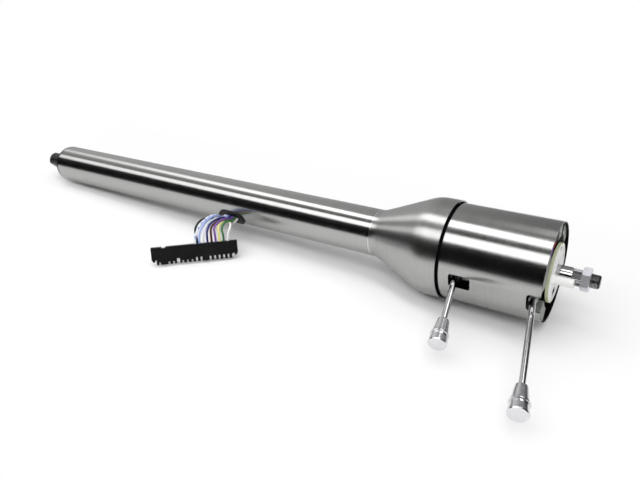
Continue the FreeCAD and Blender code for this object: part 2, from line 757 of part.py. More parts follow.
def gap_skirt():
    """Black spherical skirt behind the gap between bell and shroud."""
    centre = V(X_PIVOT, 0, 0)
    shell = Part.makeSphere(SKIRT_R, centre).cut(Part.makeSphere(SKIRT_R - SKIRT_WALL, centre))
    zone = shell.common(rod(X_PIVOT - SKIRT_BACK, X_PIVOT + SKIRT_FRONT, SHROUD_R))
    far = SHROUD_OD / SKIRT_NOTCH_SLOPE
    apex = V(X_PIVOT - SKIRT_NOTCH_APEX, -SHROUD_R, 0)
    rise = V(far, 0, far * SKIRT_NOTCH_SLOPE)
    fall = V(far, 0, -far * SKIRT_NOTCH_SLOPE)
    wedge = Part.Face(Part.makePolygon([apex, apex + rise, apex + fall, apex]))
    zone = zone.cut(wedge.extrude(V(0, SHROUD_OD, 0)))
    back = X_PIVOT - SKIRT_BACK
    foot = math.sqrt(SKIRT_R ** 2 - SKIRT_BACK ** 2)
    flange = ring(back - SKIRT_FLANGE, back, BELL_R - BELL_WALL - SKIRT_SEAT_CLEAR, foot - SKIRT_FLANGE)
    return zone.fuse(flange)


def coil_spring(x0, x1, mean_r, wire_r, turns):
    """A coil spring along the axis."""
    pitch = (x1 - x0 - 2 * wire_r) / turns
    helix = Part.makeHelix(pitch, pitch * turns, mean_r)
    start = V(mean_r, 0, 0)
    heading = V(0, mean_r * 2 * math.pi, pitch)
    section = Part.Wire(Part.makeCircle(wire_r, start, heading))
    coil = Part.Wire(helix).makePipeShell([section], True, True)
    coil.rotate(ORIGIN, V(0, 1, 0), 90)
    coil.translate(V(x0 + wire_r, 0, 0))
    return coil


def tilt_spring():
    """Spring that lifts the head."""
    mean_r = (SPRING_OD - SPRING_WIRE) / 2
    coil = coil_spring(X_SUPPORT_FRONT, X_WEB - SPRING_GUIDE_FLANGE, mean_r, SPRING_WIRE / 2, SPRING_TURNS)
    coil.translate(V(0, 0, SPRING_Z))
    return coil


def tilt_spring_guide():
    """Peg and seat that the spring stands on in the head."""
    flange = rod(X_WEB - SPRING_GUIDE_FLANGE, X_WEB, SPRING_OD / 2 + 1.0, 0, SPRING_Z)
    peg = rod(X_WEB - SPRING_GUIDE_LENGTH, X_WEB, SPRING_GUIDE_R, 0, SPRING_Z)
    return flange.fuse(peg)


def shoe_pin_place():
    return X_PIVOT + SHOE_PIN_X, SHOE_PIN_Z


def lock_shoes():
    """Toothed shoes that lock the head's angle."""
    x, z = shoe_pin_place()
    inner = LOCK_OUTER_R + LOCK_CLEAR
    y0, y1 = LOCK_Y + SHOE_CLEAR, LOCK_Y + LOCK_THICKNESS - SHOE_CLEAR
    face = pivot_sector(inner, inner + SHOE_DEPTH, SHOE_START_ANGLE, SHOE_END_ANGLE, y0, y1)
    arm = block(X_PIVOT + SHOE_ARM_START, x, y0, y1, z - SHOE_ARM_HALF, z + SHOE_ARM_HALF)
    eye = cross_pin(x, z, SHOE_PIN_R + SHOE_EYE_WALL, y0, y1)
    hole = cross_pin(x, z, SHOE_PIN_R + PIN_CLEAR, y0 - OVERCUT, y1 + OVERCUT)
    inside = cross_pin(X_PIVOT, 0, inner, y0 - OVERCUT, y1 + OVERCUT)
    return Part.makeCompound(both_sides(face.fuse([arm, eye]).cut(hole).cut(inside)))


def shoe_pins():
    x, z = shoe_pin_place()
    pin = cross_pin(x, z, SHOE_PIN_R, LOCK_Y - SHOE_PIN_REACH, LOCK_Y + LOCK_THICKNESS + SHOE_PIN_REACH)
    return Part.makeCompound(both_sides(pin))


def lever_channel():
    """Room through the housing for the tilt lever."""
    return block(X_PIVOT + NEAR_POST_FRONT, X_WEB - CHANNEL_WEB_CLEAR, -SHROUD_R, TILT_EYE_Y + CHANNEL_DEPTH,
                 CHANNEL_LOW, CHANNEL_TOP)


def tilt_housing():
    """Die-cast head that tilts and holds the upper shaft's bearings."""
    seat = bearing_seat_r(SHAFT_R) + FIT
    solid = rod(X_WEB, X_WEB + HOUSING_WEB, HOUSING_R)
    solid = solid.fuse(ring(X_WEB, X_SWITCH, HOUSING_R, HOUSING_R - HOUSING_WALL))
    solid = solid.fuse(rod(X_WEB, X_WEB + HUB_LENGTH, HUB_R))
    ear_end = HOUSING_EAR_Y + EAR_THICKNESS
    far_ear = block(X_PIVOT, X_WEB + OVERCUT, HOUSING_EAR_Y, ear_end, -HOUSING_EAR_R, HOUSING_EAR_R)
    far_boss = cross_pin(X_PIVOT, 0, HOUSING_EAR_R, HOUSING_EAR_Y, ear_end)
    near_boss = cross_pin(X_PIVOT, 0, HOUSING_EAR_R, -ear_end, -HOUSING_EAR_Y)
    near_post = block(X_PIVOT - NEAR_POST_BACK, X_PIVOT + NEAR_POST_FRONT, -ear_end, -HOUSING_EAR_Y,
                      0, NEAR_ARM_TOP)
    near_arm = block(X_PIVOT - NEAR_POST_BACK, X_WEB + OVERCUT, -ear_end, -HOUSING_EAR_Y,
                     CHANNEL_TOP, NEAR_ARM_TOP)
    lug_start, lug_y = X_PIVOT + LEVER_LUG_START, TILT_EYE_Y + LEVER_LUG_DEPTH
    top_lug = block(lug_start, X_WEB + OVERCUT, -HOUSING_EAR_Y - OVERCUT, lug_y, CHANNEL_TOP, LEVER_LUG_TOP)
    low_lug = block(lug_start, X_WEB + OVERCUT, TILT_EYE_Y - LEVER_LUG_DEPTH, lug_y, LEVER_LUG_LOW,
                    TILT_EYE_Z - EYE_HEIGHT / 2 - HOUSING_CLEAR)
    solid = solid.fuse([far_ear, far_boss, near_boss, near_post, near_arm])
    solid = solid.cut(lever_channel()).fuse([top_lug, low_lug])
    x, z = shoe_pin_place()
    lock_end = LOCK_Y + LOCK_THICKNESS
    lugs = []
    for y0, y1 in ((LOCK_Y - SHOE_PIN_REACH, LOCK_Y - LOCK_CLEAR),
                   (lock_end + LOCK_CLEAR, lock_end + SHOE_PIN_REACH)):
        lugs.extend(both_sides(block(x - SHOE_LUG_HALF_WIDTH, X_WEB + OVERCUT, y0, y1,
                                     z - SHOE_LUG_HALF_HEIGHT, z + SHOE_LUG_HALF_HEIGHT)))
    bosses = []
    for angle in SWITCH_SCREW_ANGLES:
        place = at_radius(SWITCH_SCREW_RADIUS, angle)
        bosses.append(rod(X_WEB + HOUSING_WEB - OVERCUT, X_SWITCH, SWITCH_SCREW_HEAD_R + ROUND,
                          place.y, place.z))
    solid = solid.fuse(lugs + bosses)
    solid = solid.cut(rod(X_WEB - OVERCUT, X_WEB + HUB_LENGTH + OVERCUT, SHAFT_R + HUB_BORE_CLEAR))
    for start in (X_WEB, X_WEB + HUB_LENGTH - BEARING_WIDTH):
        solid = solid.cut(rod(start - FIT, start + BEARING_WIDTH + FIT, seat))
    solid = solid.cut(Part.makeCompound([pivot_pin(side, PIVOT_PIN_CLEAR) for side in (1, -1)]))
    solid = solid.cut(Part.makeCompound(both_sides(
        cross_pin(x, z, SHOE_PIN_R + FIT, LOCK_Y - SHOE_PIN_REACH - OVERCUT,
                  lock_end + SHOE_PIN_REACH + OVERCUT))))
    solid = solid.cut(upright_pin(X_PIVOT + TILT_EYE_X, TILT_EYE_Y, LEVER_PIN_R + FIT,
                                  LEVER_LUG_LOW - OVERCUT, LEVER_LUG_TOP + OVERCUT))
    solid = solid.cut(switch_screw_holes())
    for angle in WEB_HOLE_ANGLES:
        place = at_radius(WEB_HOLE_RADIUS, angle)
        solid = solid.cut(rod(X_WEB - OVERCUT, X_WEB + HOUSING_WEB + OVERCUT, WEB_HOLE_R, place.y, place.z))
    return solid.removeSplitter()


def switch_screw_holes():
    """Holes for the screws that hold the switch housing."""
    holes = []
    for angle in SWITCH_SCREW_ANGLES:
        place = at_radius(SWITCH_SCREW_RADIUS, angle)
        holes.append(rod(X_SWITCH - SWITCH_SCREW_DEPTH, X_SWITCH + SWITCH_FLOOR + OVERCUT,
                         SWITCH_SCREW_R + FIT, place.y, place.z))
    return Part.makeCompound(holes)


def switch_screws():
    """Screws that hold the switch housing to the tilt housing."""
    screws = []
    for angle in SWITCH_SCREW_ANGLES:
        place = at_radius(SWITCH_SCREW_RADIUS, angle)
        front = X_SWITCH + SWITCH_FLOOR
        top = front + SWITCH_HEAD_HEIGHT
        shank = rod(X_SWITCH - SWITCH_SCREW_DEPTH, front, SWITCH_SCREW_R, place.y, place.z)
        head = rod(front, top, SWITCH_SCREW_HEAD_R, place.y, place.z)
        slot = block(top - SWITCH_SLOT_DEPTH, top + OVERCUT,
                     place.y - 2 * SWITCH_SCREW_HEAD_R, place.y + 2 * SWITCH_SCREW_HEAD_R,
                     place.z - SWITCH_SLOT_WIDTH / 2, place.z + SWITCH_SLOT_WIDTH / 2)
        screws.append(shank.fuse(head).cut(slot))
    return Part.makeCompound(screws)


def turn_pivot():
    """The point that the turn lever swings about, and the lever's heading."""
    heading = (TURN_END - TURN_AT_SHROUD).normalize()
    step = (TURN_PIVOT_Y - TURN_AT_SHROUD.y) / heading.y
    return TURN_AT_SHROUD + heading * step, heading


def switch_housing():
    """Die-cast ring that holds the turn switch and its lever."""
    wall_end = X_SWITCH + SWITCH_HOUSING_LENGTH
    front = wall_end + SWITCH_FLANGE
    outer = HOUSING_R - SWITCH_RING_CLEAR
    solid = ring(X_SWITCH, wall_end, outer, outer - SWITCH_WALL)
    solid = solid.fuse(ring(X_SWITCH, X_SWITCH + SWITCH_FLOOR, outer, HUB_R + SWITCH_FLOOR_CLEAR))
    lands = [sector(wall_end - OVERCUT, front - back, outer, SWITCH_LAND_R + step, start, end)
             for start, end, step, back in SWITCH_LANDS]
    pivot, _ = turn_pivot()
    boss = rod(X_SWITCH, turn_eye_start() - HOUSING_CLEAR, TURN_BOSS_R, pivot.y, pivot.z)
    solid = solid.fuse(lands + [boss])
    solid = solid.cut(sector(wall_end - TURN_GAP_DEPTH, front, SHROUD_R, TURN_GAP_INNER_R,
                             SWITCH_LANDS[0][1], SWITCH_LANDS[1][0]))
    solid = solid.cut(rod(X_SWITCH - OVERCUT, front, LEVER_PIN_R + FIT, pivot.y, pivot.z))
    solid = solid.cut(cross_pin(X_SHROUD + HAZARD_X, 0, HAZARD_HOLE_R, SWITCH_BODY_R, SHROUD_R))
    return solid.cut(switch_screw_holes())


def turn_eye_start():
    """Where the turn lever's eye begins along the axis."""
    return turn_pivot()[0].x - TURN_EYE_BACK


def turn_signal_switch():
    """Black switch body under the cancelling cam."""
    start = X_SWITCH + SWITCH_BODY_START
    end = start + SWITCH_BODY_LENGTH
    solid = sector(start, end, SWITCH_BODY_R, SWITCH_BODY_BORE_R, SWITCH_BODY_FROM, SWITCH_BODY_TO)
    solid = solid.fuse(ring(start, start + SWITCH_COLLAR_LENGTH, SWITCH_COLLAR_R, SWITCH_BODY_BORE_R))
    for n in range(SWITCH_POCKETS):
        angle = SWITCH_POCKET_FIRST + n * SWITCH_POCKET_STEP
        place = at_radius((SWITCH_BODY_R + SWITCH_BODY_BORE_R) / 2, angle)
        solid = solid.cut(rod(end - SWITCH_POCKET_DEPTH, end + OVERCUT, SWITCH_POCKET_R, place.y, place.z))
    hazard_hole = cross_pin(X_SHROUD + HAZARD_X, 0, HAZARD_HOLE_R, HAZARD_HOLE_Y, SWITCH_BODY_R + OVERCUT)
    return solid.cut(hazard_hole)


def switch_leads():
    """Three wires from one land of the switch housing to another, at the mouth's upper left."""
    start, end = SWITCH_LANDS[-1][1], SWITCH_LANDS[0][0]
    leads = []
    for depth in LEAD_DEPTHS:
        arc = Part.makeTorus(SHROUD_BORE_R - depth, LEAD_R, ORIGIN, AXIS, 0, 360, end - start)
        arc = around(arc, start - 90)
        arc.translate(V(X_FACE - LEAD_INSET, 0, 0))
        leads.append(arc)
    return Part.makeCompound(leads)


def cancel_cam():
    """White cam plate with the tower that takes the horn contact."""
    back = X_CAM - CAM_THICKNESS
    plate = ring(back, X_CAM, CAM_R, SHAFT_R + FIT)
    hub = ring(back - CAM_HUB_LENGTH, back + OVERCUT, CAM_HUB_R, SHAFT_R + FIT)
    recess = ring(X_CAM - CAM_RECESS, X_CAM + OVERCUT, CAM_R - CAM_RIM, SHAFT_R + CAM_RIM)
    cam = plate.fuse(hub).cut(recess)
    for outer, inner, start, end in CAM_SLOTS:
        cam = cam.cut(sector(back - OVERCUT, X_CAM, outer, inner, start, end))
    place = at_radius(TOWER_RADIUS, TOWER_ANGLE)
    tower = rod(X_CAM - CAM_THICKNESS, X_CAM + TOWER_LENGTH, TOWER_R, place.y, place.z)
    foot = rod(X_CAM - CAM_RECESS - ROUND, X_CAM + TOWER_FOOT_LENGTH, TOWER_FOOT_R, place.y, place.z)
    bore = rod(X_CAM + TOWER_LENGTH - TOWER_BORE_DEPTH, X_CAM + TOWER_LENGTH + OVERCUT,
               TOWER_BORE_R, place.y, place.z)
    keep_off = rod(back - OVERCUT, X_CAM + TOWER_LENGTH + OVERCUT, SHAFT_R + FIT)
    return cam.fuse([tower, foot]).cut(bore).cut(keep_off)


def horn_ring():
    """Brass contact ring on the back of the cam."""
    back = X_CAM - CAM_THICKNESS
    return ring(back - HORN_RING_THICKNESS, back, HORN_RING_OUTER_R, HORN_RING_INNER_R)


def cam_spring():
    """Wave spring between the bearing and the cam."""
    start = X_WEB + HUB_LENGTH + CAM_SPRING_CLEAR
    end = X_CAM - CAM_THICKNESS - CAM_HUB_LENGTH
    wire = (end - start) / (2 * CAM_SPRING_TURNS)
    rings = [Part.makeTorus(CAM_SPRING_R, wire + FIT, V(start + wire * (2 * n + 1), 0, 0), AXIS)
             for n in range(CAM_SPRING_TURNS)]
    return rings[0].fuse(rings[1:]).common(rod(start, end, HUB_R))


def upper_shroud():
    """Brushed cover of the head, open at the wheel's end."""
    tube = ring(X_SHROUD, X_FACE, SHROUD_R, SHROUD_BORE_R)
    window = block(X_SHROUD + TILT_WINDOW_START, X_SHROUD + TILT_WINDOW_START + TILT_WINDOW_LENGTH,
                   -SHROUD_R - OVERCUT, -SHROUD_R / 2,
                   -TILT_WINDOW_TOP - TILT_WINDOW_HEIGHT, -TILT_WINDOW_TOP)
    notch = block(X_FACE - TURN_NOTCH_DEPTH, X_FACE + TURN_NOTCH_DEPTH, -SHROUD_R - OVERCUT, -SHROUD_R / 2,
                  -TURN_NOTCH_TOP - TURN_NOTCH_HEIGHT, -TURN_NOTCH_TOP)
    for opening, corner in ((window, TILT_WINDOW_CORNER), (notch, TURN_NOTCH_CORNER)):
        edges = [edge for edge in opening.Edges if edge.BoundBox.YLength > SHROUD_R / 3]
        tube = tube.cut(opening.makeFillet(corner, edges))
    return tube.cut(cross_pin(X_SHROUD + HAZARD_X, 0, HAZARD_HOLE_R, SHROUD_R / 2, SHROUD_R + OVERCUT))


def hazard_knob():
    """Push knob of the hazard flasher, on its rod."""
    x = X_SHROUD + HAZARD_X
    rod_end = SHROUD_R + HAZARD_STANDOFF
    stem = cross_pin(x, 0, HAZARD_ROD_R, HAZARD_STEM_Y, rod_end + HAZARD_ROUND)
    knob = cross_pin(x, 0, HAZARD_KNOB_R, rod_end, rod_end + HAZARD_KNOB_LENGTH)
    knob = knob.makeFillet(HAZARD_ROUND, [edge for edge in knob.Edges
                                          if edge.BoundBox.YMin > rod_end + HAZARD_KNOB_LENGTH - ROUND])
    return stem.fuse(knob)


def lever_knob(tip, heading):
    """Turned knob on a lever's end, with its hole for the rod."""
    dome = KNOB_LENGTH - KNOB_DOME
    profile = [
        (0, 0), (0, KNOB_TOP_R), (KNOB_EDGE, KNOB_TOP_R + KNOB_EDGE), (KNOB_SHOULDER, KNOB_SHOULDER_R),
        (KNOB_CONE_END - KNOB_EDGE, KNOB_CONE_R), (KNOB_CONE_END, KNOB_GROOVE_R),
        (KNOB_RING_START, KNOB_GROOVE_R), (KNOB_RING_START + KNOB_EDGE, KNOB_RING_R),
        (KNOB_RING_END - KNOB_EDGE, KNOB_RING_R), (KNOB_RING_END, KNOB_WAIST_R),
        (KNOB_WAIST_END, KNOB_WAIST_R), (dome - KNOB_DOME, KNOB_END_R),
        (dome, KNOB_END_R - KNOB_EDGE), (dome + KNOB_DOME / 2, KNOB_END_R / 2), (KNOB_LENGTH, 0),
    ]
    knob = turned(profile).cut(rod(-OVERCUT, KNOB_HOLE_DEPTH, ROD_R + FIT))
    knob.Placement = FreeCAD.Placement(tip - heading * KNOB_LENGTH, FreeCAD.Rotation(AXIS, heading))
    return knob


def lever_rod(tip, crossing, socket_y):
    """Polished rod from a lever's socket into its knob."""
    heading = (tip - crossing).normalize()
    start = crossing + heading * ((socket_y - crossing.y) / heading.y)
    return bar(start, tip - heading * (KNOB_LENGTH - KNOB_HOLE_DEPTH), ROD_R)


def tilt_release_arm():
    """Arm inside the head that the tilt lever's rod screws into."""
    heading = (TILT_END - TILT_AT_SHROUD).normalize()
    eye_centre = V(X_PIVOT + TILT_EYE_X, TILT_EYE_Y, TILT_EYE_Z)
    socket = TILT_AT_SHROUD + heading * ((LEVER_SOCKET_Y - TILT_AT_SHROUD.y) / heading.y)
    low = TILT_EYE_Z - EYE_HEIGHT / 2
    eye = upright_pin(eye_centre.x, eye_centre.y, EYE_R, low, low + EYE_HEIGHT)
    arm = bar(eye_centre, socket, TILT_ARM_R)
    boss = bar(socket - heading * SOCKET_START, socket + heading * SOCKET_END, ROD_R + SOCKET_WALL)
    solid = eye.fuse([arm, boss])
    solid = solid.cut(bar(socket, socket + heading * SOCKET_DEPTH, ROD_R + FIT))
    return solid.cut(upright_pin(eye_centre.x, eye_centre.y, LEVER_PIN_R + PIN_CLEAR, low - OVERCUT,
                                 low + EYE_HEIGHT + OVERCUT))


def tilt_lever_pin():
    return upright_pin(X_PIVOT + TILT_EYE_X, TILT_EYE_Y, LEVER_PIN_R, LEVER_LUG_LOW, LEVER_LUG_TOP)


def turn_lever_carrier():
    """Eye and socket that the turn lever's rod screws into."""
    pivot, heading = turn_pivot()
    start = turn_eye_start()
    eye = rod(start, start + TURN_EYE_LENGTH, TURN_EYE_R, pivot.y, pivot.z)
    socket = pivot + heading * ((LEVER_SOCKET_Y - pivot.y) / heading.y)
    arm = bar(pivot, socket + heading * SOCKET_START, ROD_R + SOCKET_WALL)
    solid = eye.fuse(arm).cut(bar(socket, socket + heading * SOCKET_DEPTH, ROD_R + FIT))
    return solid.cut(rod(start - OVERCUT, start + TURN_EYE_LENGTH + OVERCUT, LEVER_PIN_R + PIN_CLEAR,
                         pivot.y, pivot.z))


def turn_lever_pin():
    """Pin that the turn lever swings on."""
    pivot, _ = turn_pivot()
    start = turn_eye_start()
    end = start + TURN_EYE_LENGTH + TURN_PIN_FRONT
    return rod(start - TURN_PIN_BACK, end, LEVER_PIN_R, pivot.y, pivot.z)


def harness_radius():
    """How far from the axis the inner harness runs."""
    return TUBE_BORE_R - HARNESS_R - HARNESS_CLEAR


def inner_harness():
    """Sleeved wires inside the tube, from the grommet to the support."""
    place = at_radius(harness_radius(), GROMMET_ANGLE)
    return rod(GROMMET_MOUTH_X - GROMMET_MOUTH_LENGTH / 2, X_SUPPORT_FRONT + HARNESS_END, HARNESS_R,
               place.y, place.z)


def plug_placement():
    """Front lower corner and axes of the plug, which leans back on the floor under the column."""
    floor = V(FLOOR_SLOPE, 0, 1).normalize()
    yaw = math.radians(PLUG_YAW)
    along = V(math.cos(yaw), math.sin(yaw), 0)
    along = (along - floor * along.dot(floor)).normalize()
    lean = math.radians(PLUG_LEAN)
    up = floor * math.cos(lean) + floor.cross(along) * math.sin(lean)
    back = up.cross(along)
    floor_z = -TUBE_R - FLOOR_SLOPE * PLUG_CORNER_X
    corner = V(PLUG_CORNER_X, PLUG_CORNER_Y, floor_z) + floor * (PLUG_DEPTH * math.sin(lean))
    return corner, along, back, up


def on_plug(shape):
    """A shape drawn on the plug's own axes, moved to its place."""
    corner, along, back, up = plug_placement()
    matrix = FreeCAD.Matrix(along.x, back.x, up.x, corner.x, along.y, back.y, up.y, corner.y,
                            along.z, back.z, up.z, corner.z, 0, 0, 0, 1)
    moved = shape.copy()
    moved.Placement = FreeCAD.Placement(matrix).multiply(moved.Placement)
    return moved


def plug_point(along_at, depth_at, up_at):
    """A point of the plug's own axes in the column's frame."""
    corner, along, back, up = plug_placement()
    return corner + along * along_at + back * depth_at + up * up_at


def plug_windows():
    """Centre, width and height of each window in the plug's lower row."""
    windows = []
    for n, kind in enumerate(PLUG_PATTERN):
        if kind in WINDOW_SIZES:
            windows.append((PLUG_FIRST + n * PLUG_PITCH,) + WINDOW_SIZES[kind])
    return windows


def connector_body():
    """Flat black plug on the wires' end."""
    back_wall = PLUG_DEPTH - PLUG_WALL
    body = block(0, PLUG_LENGTH, 0, PLUG_DEPTH, PLUG_SKIRT - PLUG_WALL, PLUG_HEIGHT)
    skirt = block(PLUG_FOOT, PLUG_LENGTH - PLUG_FOOT, 0, PLUG_DEPTH, 0, PLUG_SKIRT)
    hooks = [block(x, x + HOOK_LENGTH, HOOK_INSET, PLUG_DEPTH - HOOK_INSET, HOOK_LOW, PLUG_SKIRT)
             for x in (OVERCUT, PLUG_LENGTH - OVERCUT - HOOK_LENGTH)]
    ribs = []
    for kind in "db":
        centre = PLUG_FIRST + PLUG_PATTERN.index(kind) * PLUG_PITCH
        ribs.append(block(centre - PLUG_RIB_HALF, centre + PLUG_RIB_HALF, -PLUG_RIB, 0, 0, PLUG_RIB_HEIGHT))
    solid = body.fuse([skirt] + ribs + hooks)
    for centre, width, height in plug_windows():
        low, high = centre - width / 2, centre + width / 2
        solid = solid.cut(block(low, high, -OVERCUT, back_wall, -OVERCUT, height))
    solid = solid.cut(block(PLUG_NOTCH_START, PLUG_NOTCH_END, -OVERCUT, PLUG_DEPTH + OVERCUT,
                            PLUG_HEIGHT - PLUG_NOTCH_DEPTH, PLUG_HEIGHT + OVERCUT))
    return on_plug(solid)


def connector_terminals():
    """Bright blades in the plug's windows."""
    blades = []
    back_wall = PLUG_DEPTH - PLUG_WALL
    for centre, width, height in plug_windows():
        half = width / 2 - TERMINAL_CLEAR
        blades.append(block(centre - half, centre + half, TERMINAL_INSET, back_wall, TERMINAL_LOW, height))
    return on_plug(Part.makeCompound(blades))


def wire_route(name, along_at, mouth_x, mouth_angle, arch):
    """The points of one wire, from inside the grommet to the plug's top."""
    outward = at_radius(1.0, mouth_angle)
    up = plug_placement()[3]
    root = V(mouth_x, 0, 0) + outward * TUBE_BORE_R
    entry = plug_point(along_at, BACK_ROW_DEPTH if name in BACK_ROW else FRONT_ROW_DEPTH, PLUG_HEIGHT)
    return [root, root + outward * WIRE_FIRST_RUN] + arch + [entry + up * WIRE_LAST_RUN, entry]


def wires():
    """The ten wires between grommet and plug."""
    tubes = {}
    for name, along_at, mouth_x, mouth_angle, *arch in WIRES:
        points = wire_route(name, along_at, mouth_x, mouth_angle, arch)
        tubes[name] = cord_tube(name, points, WIRE_OD)
        print("   ", "; ".join("%.1f %.1f %.1f" % (p.x, p.y, p.z) for p in points))
    return tubes


def build():
    """Every sub-part of the column, by the name of its node."""
    lower_inner, lower_balls, lower_outer = bearing(ADAPTER_DEPTH - BEARING_WIDTH, STUB_R)
    mid_inner, mid_balls, mid_outer = bearing(X_WEB, SHAFT_R)
    top_inner, top_balls, top_outer = bearing(X_WEB + HUB_LENGTH - BEARING_WIDTH, SHAFT_R)
    nodes = {
        "jacket_tube": jacket_tube(),
        "lower_bell": lower_bell(),
        "wire_grommet": wire_grommet(),
        "lower_bearing_adapter": lower_bearing_adapter(),
        "lower_bearing_inner_race": lower_inner,
        "lower_bearing_balls": lower_balls,
        "lower_bearing_outer_race": lower_outer,
        "jacket_end_plate": jacket_end_plate(),
        "tilt_support": tilt_support(),
        "support_screws": support_screws(),
        "tilt_pivot_pins": tilt_pivot_pins(),
        "gap_skirt": gap_skirt(),
        "tilt_spring": tilt_spring(),
        "inner_harness": inner_harness(),
        "lower_shaft": lower_shaft(),
        "shaft_joint_ball": Part.makeSphere(BALL_R, V(X_PIVOT, 0, 0)),
        "upper_shaft": upper_shaft(),
        "wheel_nut": wheel_nut(),
        "cancel_cam": cancel_cam(),
        "horn_ring": horn_ring(),
        "cam_spring": cam_spring(),
        "housing_lower_inner_race": mid_inner,
        "housing_lower_balls": mid_balls,
        "housing_lower_outer_race": mid_outer,
        "housing_upper_inner_race": top_inner,
        "housing_upper_balls": top_balls,
        "housing_upper_outer_race": top_outer,
        "tilt_housing": tilt_housing(),
        "tilt_spring_guide": tilt_spring_guide(),
        "lock_shoes": lock_shoes(),
        "shoe_pins": shoe_pins(),
        "tilt_release_arm": tilt_release_arm(),
        "tilt_lever_pin": tilt_lever_pin(),
        "tilt_lever_rod": lever_rod(TILT_END, TILT_AT_SHROUD, LEVER_SOCKET_Y),
        "tilt_lever_knob": lever_knob(TILT_END, (TILT_END - TILT_AT_SHROUD).normalize()),
        "switch_housing": switch_housing(),
        "switch_screws": switch_screws(),
        "turn_signal_switch": turn_signal_switch(),
        "switch_leads": switch_leads(),
        "upper_shroud": upper_shroud(),
        "turn_lever_carrier": turn_lever_carrier(),
        "turn_lever_pin": turn_lever_pin(),
        "turn_lever_rod": lever_rod(TURN_END, TURN_AT_SHROUD, LEVER_SOCKET_Y),
        "turn_lever_knob": lever_knob(TURN_END, (TURN_END - TURN_AT_SHROUD).normalize()),
        "hazard_knob": hazard_knob(),
        "connector_body": connector_body(),
        "connector_terminals": connector_terminals(),
    }
    nodes.update(wires())
    return nodes


os.makedirs("parts", exist_ok=True)
for node, shape in build().items():
    if not shape.isValid() or not shape.Solids:
        raise ValueError(node + " is not a valid solid")
    shape.exportStep("parts/" + node + ".step")
    print(node, "solids", len(shape.Solids), "volume %.0f" % shape.Volume)
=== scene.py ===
"""Tilt steering column on a pale studio floor, dressed over its CAD model.

Places are in metres on the frame's axes: +X along the column towards the wheel,
+Z up, and -Y towards the viewer. Cord points are in millimetres, as in part.py.
"""
import math

import bpy
from mathutils import Matrix, Vector


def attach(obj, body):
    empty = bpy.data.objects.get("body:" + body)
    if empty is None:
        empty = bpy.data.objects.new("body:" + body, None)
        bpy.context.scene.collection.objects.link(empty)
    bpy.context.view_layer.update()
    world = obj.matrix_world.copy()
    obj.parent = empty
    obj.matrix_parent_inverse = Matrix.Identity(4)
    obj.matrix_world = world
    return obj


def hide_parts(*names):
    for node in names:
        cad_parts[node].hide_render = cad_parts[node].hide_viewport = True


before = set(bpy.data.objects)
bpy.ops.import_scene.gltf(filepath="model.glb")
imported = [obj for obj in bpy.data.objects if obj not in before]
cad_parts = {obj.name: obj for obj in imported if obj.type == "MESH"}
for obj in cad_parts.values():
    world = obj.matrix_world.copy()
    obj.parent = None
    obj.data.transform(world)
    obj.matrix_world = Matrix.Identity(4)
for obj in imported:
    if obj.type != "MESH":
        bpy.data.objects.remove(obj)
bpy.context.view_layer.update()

MM = 0.001

# The camera was fitted to the photograph's edges
LENS = 33.76
CAMERA_PLACE = (0.8904, -0.5868, 0.3074)
CAMERA_RIGHT = (0.84037, 0.54091, -0.03463)
CAMERA_UP = (-0.20711, 0.37949, 0.90172)
CAMERA_BACK = (0.50089, -0.75060, 0.43094)

# Places and sizes on the column, as in the solids
TUBE_R = 0.028575
# Width along X of the painted dark reflection on the tube's rounded end edge
TUBE_END_PAINTED_REFLECTION = 0.0012
X_SEAM = 0.585
# Half width of the painted highlight around the joint at X_SEAM
SEAM_HIGHLIGHT_HALF = 0.0004
SHROUD_SKIN_R = 0.0536
X_SPLINE = 0.808
X_NUT = 0.817
X_THREAD = 0.8254
X_END = 0.8343
THREAD_R = 0.007145
THREAD_CHAMFER = 0.0012
THREAD_PITCH = 0.00127
THREAD_HEIGHT = 0.00035
CAM_RIM_R = 0.0309
# Bounds of the painted shade in the cam's slots: past this radius, within this half width of this X
CAM_SLOT_R = 0.0192
X_CAM_SLOTS = 0.78985
CAM_SLOT_HALF = 0.00095

# The inner and middle lead lie within these radii, and a stretch is its middle and half length in Y
INNER_LEAD_R = 0.0441
MIDDLE_LEAD_R = 0.0469
RED_STRETCH = (-0.0175, 0.0035)
PURPLE_STRETCH = (-0.0275, 0.0045)

# The floor is white past these distances from the column, and dark in reflections further out
FLOOR_SLOPE = 0.04117
FLOOR_HALF = 6.0
COLUMN_MIDDLE = 0.4
WHITE_ENDS = 0.36
WHITE_SIDE = 0.04
WHITE_FADE = 0.28
DARK_ENDS = 0.26
DARK_FRONT = 0.25
DARK_FADE = 0.45
SOFTBOX_DISTANCE = 1.5
EVEN_GLOW = 0.46


# Camera
def add_camera():
    data = bpy.data.cameras.new("camera")
    data.sensor_fit = "HORIZONTAL"
    data.sensor_width = 36.0
    data.lens = LENS
    data.clip_end = 50
    camera = bpy.data.objects.new("camera", data)
    bpy.context.scene.collection.objects.link(camera)
    turn = Matrix((CAMERA_RIGHT, CAMERA_UP, CAMERA_BACK)).transposed().to_4x4()
    camera.matrix_world = Matrix.Translation(CAMERA_PLACE) @ turn
    bpy.context.scene.camera = camera


